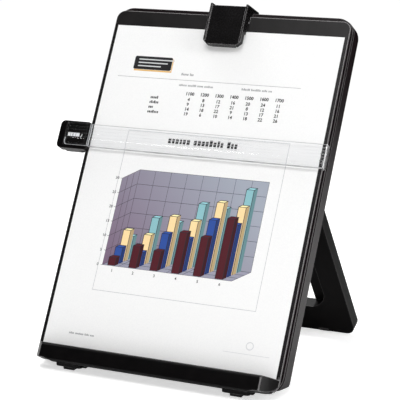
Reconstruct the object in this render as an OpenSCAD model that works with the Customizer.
// Desktop copy holder: a leaning board with a page ledge, a sprung top clip,
// a clear line guide that slides up and down the edges, and a folding easel leg.
//
// Board coordinates: X across the board, Y back through its thickness from the
// page face, Z up the board from the page's lower edge. on_board() leans them.

/* [Page] */
// Width of the page (A4)
page_w = 210; // [148:1:212]
// Length of the page
page_l = 297; // [210:1:300]
// Thickness of the sheets on the board
page_t = 0.4; // [0.2:0.1:0.8]

/* [Stance] */
// Angle at which the board leans back from upright
lean = 29; // [25:0.5:32]
// Height of the page's lower edge above the desk
desk_lift = 6.5; // [5.8:0.1:8]
// Height of the bevelled underside above the desk
under_gap = 5.1; // [4.4:0.1:5.4]

/* [Front panel] */
// Width of the panel that shows beside the page
panel_side = 3.4; // [2:0.1:5]
// Height of the panel above the page
panel_head = 13.8; // [6:0.2:15]
// Thickness of the panel's edge
panel_t = 1.6; // [1.4:0.1:2.2]
// Radius of the panel's top corners
panel_corner_r = 7.5; // [4:0.5:12]
// Width of the track slot behind the panel's edge
track_w = 2.2; // [2:0.1:3]
// Depth of the track slot in from the panel's edge
track_d = 4; // [3.4:0.2:6]

/* [Rear shell] */
// Width of the rear shell that stands out beside the panel
shell_side = 1.6; // [1:0.1:2.4]
// Height of the rear shell above the panel
shell_head = 4.8; // [3:0.2:8]
// Depth of the rear shell behind the track
shell_d = 15; // [14.6:0.1:17]
// Radius of the rear shell's corners
shell_corner_r = 14.5; // [10:0.5:18]
// Drop of the rear shell below the page's lower edge
shell_drop = 1.6; // [0:0.1:2.4]
// Wall thickness of the rear shell
shell_wall = 2.2; // [1.8:0.1:3]
// Thickness of the rim beside the track
rim_t = 1.2; // [0.8:0.1:1.6]
// Width of the seam groove behind the rim
seam_w = 1.8; // [1.2:0.1:2.2]
// Depth of the seam groove
seam_d = 2.2; // [1:0.2:3]

/* [Page ledge] */
// Depth of the ledge in front of the page face
ledge_d = 15; // [12:0.5:18]
// Height of the lip above the page's lower edge
lip_h = 9.9; // [8:0.1:14]
// Drop of the ledge's front edge below the page's lower edge
ledge_drop = 4.5; // [3.6:0.1:5]
// Wall thickness of the lip
lip_wall = 2.2; // [1.6:0.1:3]
// Width of each curved end of the ledge
ledge_end_w = 10.4; // [7:0.2:14]
// Bow of the curved end, from the flat front back to the panel, seen from above
ledge_end_bow = 0.5; // [0:0.1:1.2]
// Radius of the ledge's lower corners
ledge_corner_r = 10; // [6:0.5:12]
// Height of the ledge's foot behind the panel
lip_foot_h = 12; // [10:0.5:16]

/* [Clip] */
// Width of the clip
clip_w = 34.6; // [30:0.2:40]
// Length of the clip's front plate
clip_l = 35.5; // [32:0.5:42]
// Width of the cut at each lower corner of the clip
clip_corner_w = 3.6; // [2:0.2:5]
// Height of the cut at each lower corner of the clip
clip_corner_h = 3.2; // [2:0.2:6]
// Height of the clip plate's top edge above the rear shell
clip_rise = 1.4; // [0:0.1:4]
// Distance of the clip plate's face in front of the page face
clip_stand = 8; // [7:0.1:10]
// Thickness of the clip's walls
clip_wall = 1.7; // [1.4:0.1:2.2]
// Radius of the clip's hinge pin
clip_pin_r = 1.5; // [1.2:0.1:2]
// Wire diameter of the clip's torsion spring
clip_wire = 1; // [0.7:0.1:1.2]
// Turns of the clip's torsion spring
clip_turns = 5; // [3:1:6]

/* [Line guide] */
// Height of the guide's centre above the page's lower edge
guide_z = 193; // [60:1:250]
// Height of the clear guide bar
guide_h = 20.2; // [16:0.2:26]
// Thickness of the clear guide bar
guide_t = 2.2; // [1.8:0.1:3]
// Gap between the page face and the guide bar
guide_gap = 2; // [1.6:0.1:3]
// Width of the slider housing
slider_w = 30.2; // [26:0.2:34]
// Height of the slider housing
slider_h = 24.8; // [23:0.2:28]
// Distance of the slider's face in front of the page face
slider_stand = 5.5; // [5:0.1:7]
// Radius of the slider housing's corners
slider_r = 4; // [2:0.5:6]

/* [Easel leg] */
// Height of the leg's hinge above the page's lower edge
hinge_z = 199; // [190:1:205]
// Thickness of the leg
leg_t = 11; // [9:0.5:11]
// Distance of the leg's side in from the shell's side at the hinge
leg_top_in = 25; // [20:1:28]
// Distance of the leg's side in from the shell's side at the foot
leg_foot_in = 3; // [3:0.5:10]
// Height of the bar across the leg's foot
foot_bar = 26.5; // [20:0.5:40]
// Width of the leg's arms beside its window
arm_w = 33; // [24:0.5:40]
// Radius of the lower corners of the shallow hollow in the leg's front
pocket_r = 16; // [8:1:20]
// Radius of the leg's hinge pins
leg_pin_r = 2.5; // [2:0.1:3]
// Length of each hinge pin
leg_pin_l = 20; // [16:1:24]

/* [Feet] */
// Distance of each front foot's middle in from the shell's side
foot_in = 35; // [25:1:55]
// Width of a foot plate
foot_w = 24; // [20:0.5:28]
// Thickness of a foot plate
foot_t = 2.6; // [1.8:0.1:3]
// Width of the main foot pad
pad_w = 10; // [8:0.5:14]

/* [Screws] */
// Shank radius of the case screws
screw_r = 1.3; // [1:0.1:1.5]
// Head radius of the case screws
screw_head_r = 2.8; // [2.2:0.1:3.2]
// Head height of the case screws
screw_head_h = 1.5; // [1:0.1:1.7]
// Distance of the outer screws in from the shell's side
screw_in = 20; // [17:0.5:24]
// Distance of the middle screws in from the shell's side
mid_screw_in = 52; // [46:1:58]
// Distance of the foot screws in from the shell's side
foot_screw_in = 32; // [28:1:40]
// Distance of the top screws below the shell's top
head_screw_drop = 17; // [14:0.5:20]
// Distance of the outer screws above the leg's recess
hinge_screw_rise = 14; // [10:0.5:20]
// Height of the lower middle screws above the page's lower edge
mid_screw_low = 70; // [50:1:90]
// Height of the upper middle screws above the page's lower edge
mid_screw_high = 160; // [130:1:165]
// Height of the foot screws above the page's lower edge
foot_screw_z = 7; // [6:0.5:9]

/* [Fits] */
// Clearance between pieces that move past each other
gap = 0.4; // [0.3:0.05:0.6]
// Radial clearance of the hinge pins
pin_fit = 0.05; // [0.03:0.01:0.08]
// Air left around pieces that are put together
seat = 0.1; // [0.05:0.05:0.2]

/* [Hidden] */
$fn = 48;
eps = 0.01;
black = "#1b1a1c";
soft_black = "#262426";

// Board sizes
panel_w = page_w + 2 * panel_side;
panel_h = page_l + panel_head;
shell_w = panel_w + 2 * shell_side;
shell_h = panel_h + shell_head;

// Depth planes through the board
core_y = panel_t + track_w;
floor_back = core_y + rim_t + seam_w;
shell_back = core_y + shell_d;
hinge_y = (floor_back + shell_back) / 2;
panel_half = panel_w / 2;
shell_half = shell_w / 2;
core_half = panel_half - track_d;

// Height of the bevelled underside at a depth y
function under(y) = (under_gap - desk_lift + y * sin(lean)) / cos(lean);

// Ledge places
ledge_face_half = panel_half - ledge_end_w;
ledge_end_foot = ledge_drop - 1.7;

// Clip places
clip_top = shell_h + clip_rise;
clip_half = clip_w / 2;
clip_foot = clip_top - clip_l;
clip_pivot_y = core_y + 4.7;
clip_pivot_z = shell_h - 2.6;
notch_z = shell_h - 10.6;
notch_half = clip_half + gap + seat;
cheek_boss_r = clip_pin_r + 2.6;
ear_out = clip_half - clip_wall - gap;
ear_t = 2.4;
saddle_t = 2.4;
saddle_screw_l = 7;
coil_r = clip_pin_r + clip_wire / 2 + 0.5;
bridge_z = clip_pivot_z + coil_r + clip_wire / 2 + gap * 0.75;

// Line guide places
slider_z = guide_z - 1.1;
slider_in = panel_half - 3.9;
slider_out = slider_in + slider_w;
slider_seam = 1.2;
slider_back_y = floor_back + 1.4;
slider_clear = page_t + 0.5;
guide_y0 = -guide_gap - guide_t;
guide_end = slider_out - 6;
hook_t = 1.4;
hook_out = panel_half + gap + seat + hook_t;
tongue_t = track_w - 1.5 * gap;
tongue_y = panel_t + (track_w - tongue_t) / 2;
tongue_in = core_half + 2 * gap;
slider_wall_x = shell_half + 2 * gap;
leaf_t = 0.3;
leaf_w = 1.4;
leaf_span = slider_h * 0.72;

// Easel leg places, in the leg's own frame with its hinge axis at the origin
leg_half_t = leg_t / 2;
leg_top_half = shell_half - leg_top_in;
leg_foot_half = shell_half - leg_foot_in;
foot_pitch = shell_w - 2 * foot_in;
leg_end_gap = 4.7;
leg_front_y = hinge_y - leg_half_t;
leg_l = hinge_z - under(leg_front_y) - (shell_wall + leg_end_gap) / cos(lean);
leg_corner_r = 8;
leg_taper = atan((leg_foot_half - leg_top_half) / leg_l);
rail_w = 21;
web_t = 3;
leg_pad_r = 3.6;
leg_pad_y = leg_pad_r - leg_half_t;
leg_pad_l = leg_l - 1.3;
leg_pad_w = 9;
leg_pad_x = foot_pitch / 2 + 2;
recess_gap = 0.8;
side_wall = 1.9;
recess_top = hinge_z + leg_half_t + 4;
barrel_end = leg_top_half - 0.5;

// The leg swings until its pads meet the desk
hinge_world_z = hinge_z * cos(lean) - hinge_y * sin(lean);
leg_reach = norm([leg_pad_l, leg_pad_y]);
leg_rake = acos((hinge_world_z + desk_lift - leg_pad_r) / leg_reach) - atan2(leg_pad_y, leg_pad_l);
leg_swing = leg_rake + lean;
heel = (hinge_y - floor_back - gap * 0.75) / sin(leg_swing);

// Extreme points, which centre the whole stand over its origin
ledge_edge_r = 2;
ledge_flat = 6;
plate_back = 0.7 - ledge_d;
front_y = (ledge_edge_r - ledge_drop) * sin(lean) + (ledge_edge_r - ledge_d) * cos(lean) - ledge_edge_r;
leg_back_l = hinge_z - under(hinge_y + leg_half_t) - (shell_wall + leg_end_gap) / cos(lean);
hinge_world_y = hinge_z * sin(lean) + hinge_y * cos(lean);
back_y = hinge_world_y + leg_half_t * cos(leg_rake) + leg_back_l * sin(leg_rake);
centre_x = (hook_out - slider_out) / 2;
centre_y = (front_y + back_y) / 2;

// Feet, in desk coordinates
foot_y0 = -6.4;
foot_d = 15;
pad_d = 5;
pad_y = 1.4;
rear_pad_w = 4.6;
rear_pad_d = 4.2;

// Case screws: [x, z]
case_screws = [
    for (s = [-1, 1]) for (z = [recess_top + hinge_screw_rise, shell_h - head_screw_drop])
        [s * (shell_half - screw_in), z],
    for (s = [-1, 1]) for (z = [mid_screw_low, mid_screw_high]) [s * (shell_half - mid_screw_in), z],
    for (s = [-1, 0, 1]) [s * (shell_half - foot_screw_in), foot_screw_z]
];
screw_seat_y = core_y + rim_t;

// ---- Placing ----

module on_desk() {
    translate([-centre_x, -centre_y, 0]) children();
}

module lean_back() {
    translate([0, 0, desk_lift]) rotate([-lean, 0, 0]) children();
}

module on_board() {
    on_desk() lean_back() children();
}

module on_leg() {
    on_board() translate([0, hinge_y, hinge_z]) rotate([leg_swing, 0, 0]) children();
}

// A side profile, drawn as (depth, height), swept from x0 to x1
module side_profile(x0, x1) {
    translate([x0, 0, 0]) rotate([90, 0, 90]) linear_extrude(x1 - x0) children();
}

// A face outline, drawn as (width, height), swept from depth y0 to y1
module face_outline(y0, y1) {
    translate([0, y1, 0]) rotate([90, 0, 0]) linear_extrude(y1 - y0) children();
}

module rod(r, x0, x1) {
    translate([x0, 0, 0]) rotate([0, 90, 0]) cylinder(r = r, h = x1 - x0);
}

module hole(r, y0, y1) {
    translate([0, y1, 0]) rotate([90, 0, 0]) cylinder(r = r, h = y1 - y0);
}

// A box outline of width w from z0 to z1 with its own radius at foot and top
module rounded(w, z0, z1, r_foot, r_top) {
    translate([-w / 2, z0 + r_foot]) square([w, z1 - z0 - r_foot - r_top]);
    translate([r_foot - w / 2, z0]) square([w - 2 * r_foot, r_foot + eps]);
    translate([r_top - w / 2, z1 - r_top - eps]) square([w - 2 * r_top, r_top + eps]);
    for (s = [-1, 1]) {
        translate([s * (w / 2 - r_foot), z0 + r_foot]) circle(r = r_foot);
        translate([s * (w / 2 - r_top), z1 - r_top]) circle(r = r_top);
    }
}

// Everything above the underside: flat below the lip, then bevelled parallel to
// the desk, the bevel lifted by `lift` square to it
module above_underside(half, lift) {
    rise = lift / cos(lean);
    side_profile(-half, half) polygon([
        [-2 * ledge_d, -ledge_drop], [-ledge_d + ledge_flat, -ledge_drop], [0, under(0) + rise],
        [2 * shell_back, under(2 * shell_back) + rise],
        [2 * shell_back, 2 * shell_h], [-2 * ledge_d, 2 * shell_h]
    ]);
}

module clip_notch() {
    translate([-notch_half, -1, notch_z]) cube([2 * notch_half, shell_back + 2, shell_h]);
}

// ---- Board ----

module panel_outline() {
    face_outline(0, panel_t) intersection() {
        rounded(panel_w, -ledge_end_foot, panel_h, ledge_corner_r, panel_corner_r);
        translate([-panel_half, 0]) square([panel_w, panel_h]);
    }
    face_outline(panel_t - eps, core_y)
        rounded(2 * core_half, lip_foot_h + seat, panel_h - track_d, 3, panel_corner_r - 3);
}

module front_panel() {
    color(black) on_board() difference() {
        panel_outline();
        clip_notch();
        for (p = case_screws)
            translate([p[0], 0, p[1]]) hole(screw_r + seat / 2, panel_t * 0.75, core_y + 1);
    }
}

module leg_recess() {
    spread = tan(leg_taper) * hinge_z;
    intersection() {
        face_outline(floor_back, shell_back + 1) polygon([
            [-leg_top_half - spread - recess_gap, 0],
            [leg_top_half + spread + recess_gap, 0],
            [leg_top_half + recess_gap, hinge_z],
            [leg_top_half + recess_gap, recess_top],
            [-leg_top_half - recess_gap, recess_top],
            [-leg_top_half - recess_gap, hinge_z]
        ]);
        above_underside(shell_half, shell_wall);
        face_outline(floor_back, shell_back + 1)
            rounded(shell_w - 2 * side_wall, side_wall - shell_drop, shell_h,
                    shell_corner_r - side_wall, 1);
    }
}

// The upper half is hollow behind the front panel
module upper_cavity() {
    inner_half = shell_half - seam_d - shell_wall;
    difference() {
        face_outline(core_y - 1, shell_back - shell_wall)
            rounded(2 * inner_half, recess_top + shell_wall, shell_h - seam_d - shell_wall,
                    3, shell_corner_r - seam_d - shell_wall);
        translate([-notch_half - shell_wall, 0, notch_z - shell_wall])
            cube([2 * (notch_half + shell_wall), shell_back, shell_h]);
        for (x = [-1, 1] * saddle_screw_x)
            translate([x, clip_pivot_y + 1, notch_z - saddle_screw_l - 1])
                cylinder(r = screw_r + 2, h = saddle_screw_l + 1);
        for (x = [-60 : 30 : 60])
            translate([x - shell_wall / 4, core_y + 1, recess_top])
                cube([shell_wall / 2, shell_d, notch_z - recess_top - shell_wall]);
    }
}

module screw_column(p) {
    translate([p[0], 0, p[1]]) hole(screw_head_r + 2, core_y, shell_back - shell_wall / 2);
}

module screw_well(p) {
    translate([p[0], 0, p[1]]) {
        hole(screw_head_r + 3 * seat, screw_seat_y, shell_back + 1);
        hole(screw_r + seat, core_y - 1, screw_seat_y + 1);
    }
}

module finger_notch() {
    translate([0, shell_back, 0])
        face_outline(-5, 1) rounded(36, -20, under(shell_back) + 9, 1, 6);
}

module rear_shell() {
    color(soft_black) on_board() difference() {
        union() {
            difference() {
                union() {
                    face_outline(core_y, core_y + rim_t)
                        rounded(shell_w - 0.8, -shell_drop, shell_h - 0.4, shell_corner_r, shell_corner_r);
                    face_outline(core_y, floor_back + eps)
                        rounded(shell_w - 2 * seam_d, seam_d - shell_drop, shell_h - seam_d,
                                shell_corner_r - seam_d, shell_corner_r - seam_d);
                    face_outline(floor_back, shell_back)
                        rounded(shell_w, -shell_drop, shell_h, shell_corner_r, shell_corner_r);
                }
                upper_cavity();
                leg_recess();
            }
            for (p = case_screws)
                if (p[1] > recess_top) screw_column(p);
        }
        clip_notch();
        finger_notch();
        for (p = case_screws) screw_well(p);
        for (x = [-1, 1] * saddle_screw_x)
            translate([x, clip_pivot_y + 1, notch_z - saddle_screw_l])
                cylinder(r = screw_r + seat, h = saddle_screw_l + 1);
        for (s = [-1, 1])
            translate([0, hinge_y, hinge_z])
                rod(leg_pin_r, s > 0 ? 0 : -pin_out, s > 0 ? pin_out : 0);
        difference() {
            translate([-shell_half - 1, core_y - 1, -shell_d])
                cube([shell_w + 2, shell_d + 2, 3 * shell_d]);
            above_underside(shell_half + 2, 0);
        }
    }
}

pin_out = leg_top_half + recess_gap + leg_pin_l * 0.55;
saddle_screw_x = ear_out - ear_t - 3;

// Ledge outline from above, as (width, depth), drawn in from its outside by `inset`.
// Each end curves from the flat front's edge back to the panel's edge.
end_chord = [panel_half - ledge_face_half, ledge_d];
end_square = [end_chord[1], -end_chord[0]] / norm(end_chord);
end_steps = 8;
end_curve = [for (i = [0 : end_steps]) let (q = i / end_steps)
    [ledge_face_half, -ledge_d] + end_chord * q + end_square * ledge_end_bow * 4 * q * (1 - q)];

module ledge_outline(inset) {
    side = [for (p = end_curve) [p[0] - inset * end_square[0], max(p[1], inset - ledge_d)]];
    last = len(side) - 1;
    polygon(concat(
        [for (p = side) [min(p[0], panel_half), min(p[1], 0)]],
        [for (i = [last : -1 : 0]) [max(-side[i][0], -panel_half), min(side[i][1], 0)]]
    ));
}

// Ledge outline from the front: the lower edge steps up near its rounded ends
module ledge_front_view() {
    corner_x = panel_half - ledge_corner_r;
    step = ledge_face_half - 5;
    polygon([
        [5.5 - step, -ledge_drop], [step - 5.5, -ledge_drop],
        [step, -ledge_end_foot - 0.2], [corner_x, -ledge_end_foot], [corner_x, 2 * lip_foot_h],
        [-corner_x, 2 * lip_foot_h], [-corner_x, -ledge_end_foot], [-step, -ledge_end_foot - 0.2]
    ]);
    translate([-panel_half, ledge_corner_r - ledge_end_foot]) square([panel_w, 2 * lip_foot_h]);
    for (s = [-1, 1])
        translate([s * corner_x, ledge_corner_r - ledge_end_foot]) circle(r = ledge_corner_r);
}

// Section of the ledge, as (depth, height), with a soft lower edge and a sloped lip
module ledge_section() {
    soft = ledge_edge_r;
    difference() {
        union() {
            translate([-ledge_d, soft - ledge_drop])
                square([ledge_d + core_y - seat, lip_foot_h + ledge_drop]);
            translate([soft - ledge_d, -ledge_drop]) square([ledge_d, soft + eps]);
            translate([soft - ledge_d, soft - ledge_drop]) circle(r = soft);
        }
        polygon([
            [-ledge_d - 1, lip_h - 3.9], [-ledge_d, lip_h - 2.3],
            [lip_wall * 0.6 - ledge_d, lip_h], [-seat, lip_h], [-seat, 40], [-ledge_d - 1, 40]
        ]);
    }
}

module page_ledge() {
    color(black) on_board() difference() {
        intersection() {
            union() {
                translate([0, 0, -ledge_drop]) linear_extrude(ledge_drop + lip_foot_h) ledge_outline(0);
                translate([-core_half + 6, -eps, -ledge_drop])
                    cube([2 * core_half - 12, core_y, ledge_drop + lip_foot_h]);
            }
            side_profile(-panel_half, panel_half) ledge_section();
            above_underside(panel_half + 1, 0);
            face_outline(-ledge_d - 1, core_y) ledge_front_view();
            union() {
                face_outline(-ledge_d - 1, plate_back)
                    rounded(2 * ledge_face_half, -2 * ledge_drop, lip_h, 1, 3.5);
                face_outline(plate_back - eps, core_y) square([panel_w, 4 * lip_foot_h], center = true);
            }
        }
        translate([0, 0, 0]) linear_extrude(lip_foot_h + 1) difference() {
            ledge_outline(lip_wall);
            translate([-panel_half, 0]) square([panel_w, ledge_d]);
        }
        translate([-panel_half - 1, -eps, 0]) cube([panel_w + 2, panel_t + seat, lip_foot_h + 1]);
        for (p = case_screws)
            translate([p[0], 0, p[1]]) hole(screw_r + seat, 0, core_y + 1);
    }
}

module sample_sheet() {
    color("#f7f7f5") on_board() translate([-page_w / 2, -page_t, 0]) cube([page_w, page_t, page_l]);
}

// ---- Clip ----

// Front plate outline with chamfered lower corners
module clip_face(inset) {
    half = clip_half - inset;
    foot = clip_foot + inset;
    polygon([
        [-half, foot + clip_corner_h], [clip_corner_w - half, foot],
        [half - clip_corner_w, foot], [half, foot + clip_corner_h],
        [half, clip_top], [-half, clip_top]
    ]);
}

// Cheek seen from the side, as (depth, height)
module clip_cheek() {
    ridge = -clip_stand - 0.8;
    skirt = -clip_stand + 4.6;
    polygon([
        [ridge, clip_foot + clip_corner_h], [skirt, clip_foot + clip_corner_h],
        [skirt, clip_foot + 11], [-page_t - gap, clip_foot + 13],
        [-page_t - gap, notch_z + gap], [gap, notch_z + gap + 0.6], [clip_pivot_y - 3, clip_pivot_z - 3.4],
        [clip_pivot_y + 4, clip_pivot_z], [clip_pivot_y + 8, bridge_z],
        [clip_pivot_y + 8, clip_top + 4.7], [ridge, clip_top + 1.6]
    ]);
    translate([clip_pivot_y, clip_pivot_z]) circle(r = cheek_boss_r);
}

module clip_lever() {
    color(black) on_board() difference() {
        union() {
            face_outline(-clip_stand, clip_wall - clip_stand) clip_face(0);
            face_outline(-clip_stand, -clip_stand + 4.6) difference() {
                clip_face(0);
                clip_face(clip_wall);
                translate([-clip_half - 1, clip_foot + 6]) square([clip_w + 2, clip_l + 1]);
            }
            translate([-clip_half + 6, -clip_stand + 1, clip_foot + seat])
                cube([clip_w - 12, clip_stand - 1 - pad_face_y - pad_t, 4]);
            for (s = [-1, 1])
                side_profile(s > 0 ? clip_half - clip_wall : -clip_half,
                             s > 0 ? clip_half : clip_wall - clip_half) clip_cheek();
            translate([-clip_half, clip_pivot_y + 3, bridge_z]) cube([clip_w, 5, clip_top + 2 - bridge_z]);
            for (x = [-9 : 6 : 9])
                translate([x - 0.5, -clip_stand + 1, clip_foot + 3]) cube([1, 3, clip_l - 5]);
        }
        translate([0, clip_pivot_y, clip_pivot_z]) rod(clip_pin_r + pin_fit, -clip_half - 1, clip_half + 1);
    }
}

pad_face_y = page_t + 0.3;
pad_t = 1.8;

module clip_grip_pad() {
    color("#2c2b2c") on_board() translate([-clip_half + 6.5, -pad_face_y - pad_t, clip_foot + 0.5])
        difference() {
            cube([clip_w - 13, pad_t, 3.4]);
            for (z = [0.7 : 0.9 : 3])
                translate([-1, pad_t - 0.3, z]) cube([clip_w, 1, 0.4]);
        }
}

module clip_saddle() {
    color("#9b9b9b") on_board() difference() {
        union() {
            translate([-ear_out, core_y + 0.4, notch_z]) cube([2 * ear_out, shell_d - 3, saddle_t]);
            for (s = [-1, 1])
                side_profile(s > 0 ? ear_out - ear_t : -ear_out, s > 0 ? ear_out : ear_t - ear_out) {
                    polygon([
                        [core_y + 0.4, notch_z], [core_y + shell_d - 2.6, notch_z],
                        [clip_pivot_y + cheek_boss_r - 0.6, clip_pivot_z],
                        [clip_pivot_y - cheek_boss_r + 0.6, clip_pivot_z]
                    ]);
                    translate([clip_pivot_y, clip_pivot_z]) circle(r = cheek_boss_r - 0.6);
                }
        }
        translate([0, clip_pivot_y, clip_pivot_z]) rod(clip_pin_r, -clip_half, clip_half);
        for (x = [-1, 1] * saddle_screw_x)
            translate([x, clip_pivot_y + 1, notch_z - 1]) cylinder(r = screw_r + seat, h = saddle_t + 2);
    }
}

module clip_pin() {
    color("silver") on_board() translate([0, clip_pivot_y, clip_pivot_z])
        rod(clip_pin_r, -clip_half + 0.2, clip_half - 0.2);
}

// Torsion spring: a straight arm under the lever's bridge, the coil round the pin,
// and an arm down to the saddle. Points are [x, depth, height] from the pin's axis.
coil_pitch = clip_wire + 0.5;
coil_steps = 16;
coil_last = coil_steps * clip_turns + 6;
coil_half = coil_pitch * coil_last / coil_steps / 2;
arm_l = 6.4;
rest_z = notch_z + saddle_t + clip_wire / 2 + gap * 0.75 - clip_pivot_z;
rest_y = -2 * coil_r * sin(45) - rest_z;
coil_path = concat(
    [[-coil_half, arm_l, coil_r]],
    [for (i = [0 : coil_last]) let (q = i / coil_steps, w = 90 + 360 * q)
        [coil_pitch * q - coil_half, coil_r * cos(w), coil_r * sin(w)]],
    [[coil_half, rest_y, rest_z]]
);

module wire(path, d) {
    sides = 6;
    last = len(path) - 1;
    dirs = [for (i = [0 : last]) let (v = path[min(i + 1, last)] - path[max(i - 1, 0)]) v / norm(v)];
    rings = [for (i = [0 : last]) for (k = [0 : sides - 1])
        let (a = dirs[i], s0 = cross(a, [1, 0, 0]),
             s = norm(s0) > 0.2 ? s0 / norm(s0) : cross(a, [0, 0, 1]),
             t = cross(a, s), w = 360 * k / sides)
        path[i] + d / 2 * (cos(w) * s + sin(w) * t)];
    skin = [for (i = [0 : last - 1]) for (k = [0 : sides - 1]) let (j = (k + 1) % sides)
        each [[i * sides + k, i * sides + j, (i + 1) * sides + j],
              [i * sides + k, (i + 1) * sides + j, (i + 1) * sides + k]]];
    caps = [[for (k = [sides - 1 : -1 : 0]) k], [for (k = [0 : sides - 1]) last * sides + k]];
    polyhedron(rings, concat(skin, caps));
}

module clip_spring() {
    color("silver") on_board() translate([0, clip_pivot_y, clip_pivot_z]) wire(coil_path, clip_wire);
}

module saddle_screws() {
    color("silver") on_board()
        for (x = [-1, 1] * saddle_screw_x)
            translate([x, clip_pivot_y + 1, notch_z + saddle_t]) {
                cylinder(r = screw_head_r - 0.6, h = 1.2);
                translate([0, 0, 1 - saddle_screw_l - saddle_t])
                    cylinder(r = screw_r, h = saddle_screw_l + saddle_t - 1 + eps);
            }
}

// ---- Line guide ----

// Section of the clear bar, as (depth, height): fine lines and one magnifying rib
module bar_section() {
    low = guide_z - guide_h / 2;
    lens_w = 5;
    lens_z = low + 4.2;
    lens_r = 4.5;
    difference() {
        union() {
            translate([guide_y0, low]) square([guide_t, guide_h]);
            intersection() {
                translate([guide_y0 + lens_r - 0.8, lens_z]) circle(r = lens_r);
                translate([guide_y0 - 2, lens_z - lens_w / 2]) square([3, lens_w]);
            }
        }
        for (i = [0 : 3])
            translate([guide_y0, low + guide_h - 3 - 3 * i]) circle(r = 0.35, $fn = 24);
    }
}

module hook_outline() {
    low = guide_z - guide_h / 2;
    rounded_side(guide_y0, tongue_y + tongue_t, low, low + guide_h, 2.4);
}

// A box outline with rounded far corners, as (depth, height)
module rounded_side(y0, y1, z0, z1, r) {
    translate([y0, z0]) square([y1 - y0 - r, z1 - z0]);
    translate([y0, z0 + r]) square([y1 - y0, z1 - z0 - 2 * r]);
    for (z = [z0 + r, z1 - r])
        translate([y1 - r, z]) circle(r = r);
}

module guide_bar() {
    low = guide_z - guide_h / 2;
    color([0.85, 0.9, 0.92, 0.45]) on_board() {
        side_profile(-guide_end, hook_out - hook_t + eps) bar_section();
        side_profile(hook_out - hook_t, hook_out) hook_outline();
        side_profile(tongue_in, hook_out - hook_t + eps)
            translate([tongue_y, low + 3]) square([tongue_t, guide_h - 6]);
        for (z = [guide_z - 4, guide_z + 2])
            translate([page_w / 2 + gap, -guide_gap - eps, z])
                cube([hook_out - hook_t - page_w / 2 - gap + eps, guide_gap - page_t - gap, 0.9]);
    }
}

module slider_outline(x_in, x_out, inset) {
    w = x_out - x_in - 2 * inset;
    translate([-(x_in + x_out) / 2, 0])
        rounded(w, slider_z - slider_h / 2 + inset, slider_z + slider_h / 2 - inset,
                slider_r - inset, slider_r - inset);
}

module slider_front() {
    color(black) on_board() difference() {
        union() {
            face_outline(-slider_stand, -slider_clear) slider_outline(slider_in, slider_out, 0);
            face_outline(-slider_clear - eps, slider_seam)
                slider_outline(slider_wall_x, slider_out, 0);
        }
        translate([-guide_end - seat, guide_y0 - seat, guide_z - guide_h / 2 - seat])
            cube([slider_w, guide_t + 2 * seat, guide_h + 2 * seat]);
        translate([-guide_end - seat, -slider_stand - 1, guide_z - guide_h / 2 - seat])
            cube([slider_w, slider_stand, guide_h + 2 * seat]);
        for (s = [-1, 1])
            translate([-slider_out + 4.2, 0, slider_z + s * 7]) hole(screw_r - 0.25, -3.4, slider_seam + 1);
    }
}

module slider_back() {
    color(soft_black) on_board() difference() {
        union() {
            face_outline(slider_seam, slider_back_y - 1.2)
                slider_outline(slider_wall_x, slider_out - 1.6, 0.6);
            face_outline(slider_back_y - 1.2 - eps, slider_back_y)
                slider_outline(slider_wall_x + 0.6, slider_out - 2.2, 1.2);
            translate([-slider_wall_x - 3, tongue_y, slider_z - slider_h / 2 + 3])
                cube([slider_wall_x + 3 - tongue_in, tongue_t, slider_h - 6]);
        }
        for (s = [-1, 1])
            translate([-slider_out + 4.2, 0, slider_z + s * 7]) {
                hole(screw_r - 0.1, 0, slider_back_y + 1);
                hole(screw_head_r - 0.8, slider_back_y - 1.6, slider_back_y + 1);
            }
        for (i = [-2 : 2])
            translate([-slider_out, slider_back_y - 0.5, slider_z + i * 3.2 - 0.5]) cube([3.4, 1, 1]);
    }
}

module slider_screws() {
    color("silver") on_board()
        for (s = [-1, 1])
            translate([-slider_out + 4.2, 0, slider_z + s * 7]) {
                hole(screw_r - 0.3, -3.2, slider_back_y - 1.5);
                hole(screw_head_r - 1, slider_back_y - 1.6, slider_back_y - 0.5);
            }
}

// Bowed strip between the slider's inner wall and the panel's edge
module slider_leaf_spring() {
    wall_x = slider_wall_x;
    bow = wall_x - panel_half - gap;
    bend_r = (leaf_span * leaf_span / 4 + bow * bow) / (2 * bow);
    color("silver") on_board() intersection() {
        face_outline(0.1, 0.1 + leaf_w - 0.4) difference() {
            translate([-wall_x + bow - bend_r, slider_z]) circle(r = bend_r, $fn = 96);
            translate([-wall_x + bow - bend_r, slider_z]) circle(r = bend_r - leaf_t, $fn = 96);
        }
        translate([-wall_x, -5, slider_z - slider_h / 2]) cube([bow + 1, 12, slider_h]);
    }
}

// ---- Easel leg ----

function leg_half_at(l) = leg_top_half + (leg_foot_half - leg_top_half) * l / leg_l;

module leg_outline(inset, top) {
    r = leg_corner_r - min(inset, 4);
    foot = -leg_l + inset;
    cz = foot + r;
    cx = leg_half_at(-cz) - inset - r / cos(leg_taper);
    tx = cx + r * cos(leg_taper);
    tz = cz + r * sin(leg_taper);
    polygon([
        [-cx, foot], [cx, foot], [tx, tz], [leg_half_at(top) - inset, -top],
        [inset - leg_half_at(top), -top], [-tx, tz]
    ]);
    for (s = [-1, 1])
        translate([s * cx, cz]) circle(r = r);
}

// Hollow of the leg's front: wide between the side rails, above the foot bar
module leg_pocket() {
    r = pocket_r;
    low = foot_bar - leg_l;
    high = -26;
    half_low = leg_half_at(-low) - rail_w;
    half_high = leg_half_at(-high) - rail_w;
    polygon([
        [r - half_low, low], [half_low - r, low], [half_low, low + r],
        [half_high, high], [-half_high, high], [-half_low, low + r]
    ]);
    for (s = [-1, 1])
        translate([s * (half_low - r), low + r]) circle(r = r);
}

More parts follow.
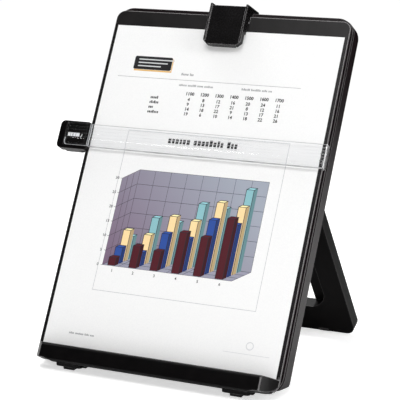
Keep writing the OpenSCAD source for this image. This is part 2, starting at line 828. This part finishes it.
module leg_window() {
    low = foot_bar - leg_l;
    high = -26;
    half_low = leg_half_at(-low) - arm_w;
    half_high = leg_half_at(-high) - arm_w;
    r = 8;
    polygon([
        [-half_low, low], [half_low, low], [half_high, high - r], [half_high - r, high],
        [r - half_high, high], [-half_high, high - r]
    ]);
    for (s = [-1, 1])
        translate([s * (half_high - r), high - r]) circle(r = r);
}

module easel_leg() {
    color(black) on_leg() difference() {
        union() {
            intersection() {
                face_outline(-leg_half_t, leg_half_t) leg_outline(0, 0);
                translate([0, -hinge_y, -hinge_z])
                    above_underside(shell_half, shell_wall + leg_end_gap);
            }
            rod(leg_half_t, -barrel_end, barrel_end);
            translate([-barrel_end + 12, 0, 0]) cube([2 * barrel_end - 24, leg_half_t, heel]);
        }
        face_outline(-leg_half_t - 1, leg_half_t - web_t) leg_pocket();
        face_outline(-leg_half_t - 1, leg_half_t + 1) leg_window();
        translate([0, leg_half_t + 15, -leg_l + 16]) rod(17.5, -16, 16);
        for (s = [-1, 1]) {
            rod(leg_pin_r + pin_fit, s > 0 ? pin_in : -leg_foot_half, s > 0 ? leg_foot_half : -pin_in);
            translate([s * leg_pad_x, leg_pad_y, -leg_pad_l])
                rod(leg_pad_r + eps, -leg_pad_w / 2 - eps, leg_pad_w / 2 + eps);
        }
    }
}

pin_in = pin_out - leg_pin_l;

module leg_hinge_pin(side) {
    color("silver") on_board() translate([0, hinge_y, hinge_z])
        rod(leg_pin_r, side > 0 ? pin_in + 0.5 : -pin_out, side > 0 ? pin_out : -pin_in - 0.5);
}

module leg_hinge_pin_left() {
    leg_hinge_pin(-1);
}

module leg_hinge_pin_right() {
    leg_hinge_pin(1);
}

module leg_pads() {
    color("#3a3a3a") on_leg()
        for (s = [-1, 1])
            translate([s * leg_pad_x, leg_pad_y, -leg_pad_l])
                rod(leg_pad_r, -leg_pad_w / 2, leg_pad_w / 2);
}

// ---- Feet ----

module foot_plate(side) {
    color(black) on_desk() difference() {
        translate([side * foot_pitch / 2, foot_y0, under_gap - foot_t]) difference() {
            union() {
                translate([-foot_w / 2 + 3, 0, 0]) cube([foot_w - 6, foot_d, 2 * foot_t]);
                translate([-foot_w / 2, 3, 0]) cube([foot_w, foot_d - 6, 2 * foot_t]);
                for (x = [-1, 1] * (foot_w / 2 - 3))
                    for (y = [3, foot_d - 3])
                        translate([x, y, 0]) cylinder(r = 3, h = 2 * foot_t);
            }
            translate([-pad_w / 2 - seat, pad_y - seat, -1])
                cube([pad_w + 2 * seat, pad_d + 2 * seat, 1.8]);
        }
        lean_back() above_underside(shell_half, 0);
    }
}

module foot_plate_left() {
    foot_plate(-1);
}

module foot_plate_right() {
    foot_plate(1);
}

module foot_pads(side) {
    tall = under_gap - foot_t;
    color("#3a3a3a") on_desk() translate([side * foot_pitch / 2, foot_y0, 0]) {
        translate([-pad_w / 2, pad_y, 0]) cube([pad_w, pad_d, tall + 0.8]);
        for (x = [-1, 1] * (foot_w / 2 - rear_pad_w / 2 - 0.6))
            translate([x - rear_pad_w / 2, foot_d - rear_pad_d - 1, 0])
                cube([rear_pad_w, rear_pad_d, tall]);
    }
}

module foot_pads_left() {
    foot_pads(-1);
}

module foot_pads_right() {
    foot_pads(1);
}

// ---- Fasteners ----

module case_screws() {
    color("silver") on_board()
        for (p = case_screws)
            translate([p[0], 0, p[1]]) difference() {
                union() {
                    hole(screw_r, panel_t * 0.8, screw_seat_y + eps);
                    hole(screw_head_r, screw_seat_y, screw_seat_y + screw_head_h);
                }
                for (w = [0, 90])
                    rotate([0, w, 0]) translate([-1.6, screw_seat_y + screw_head_h - 0.6, -0.3])
                        cube([3.2, 1, 0.6]);
            }
}

front_panel();
rear_shell();
page_ledge();
sample_sheet();
clip_lever();
clip_saddle();
clip_pin();
clip_spring();
clip_grip_pad();
guide_bar();
slider_front();
slider_back();
slider_leaf_spring();
slider_screws();
easel_leg();
leg_hinge_pin_left();
leg_hinge_pin_right();
leg_pads();
foot_plate_left();
foot_plate_right();
foot_pads_left();
foot_pads_right();
case_screws();
saddle_screws();
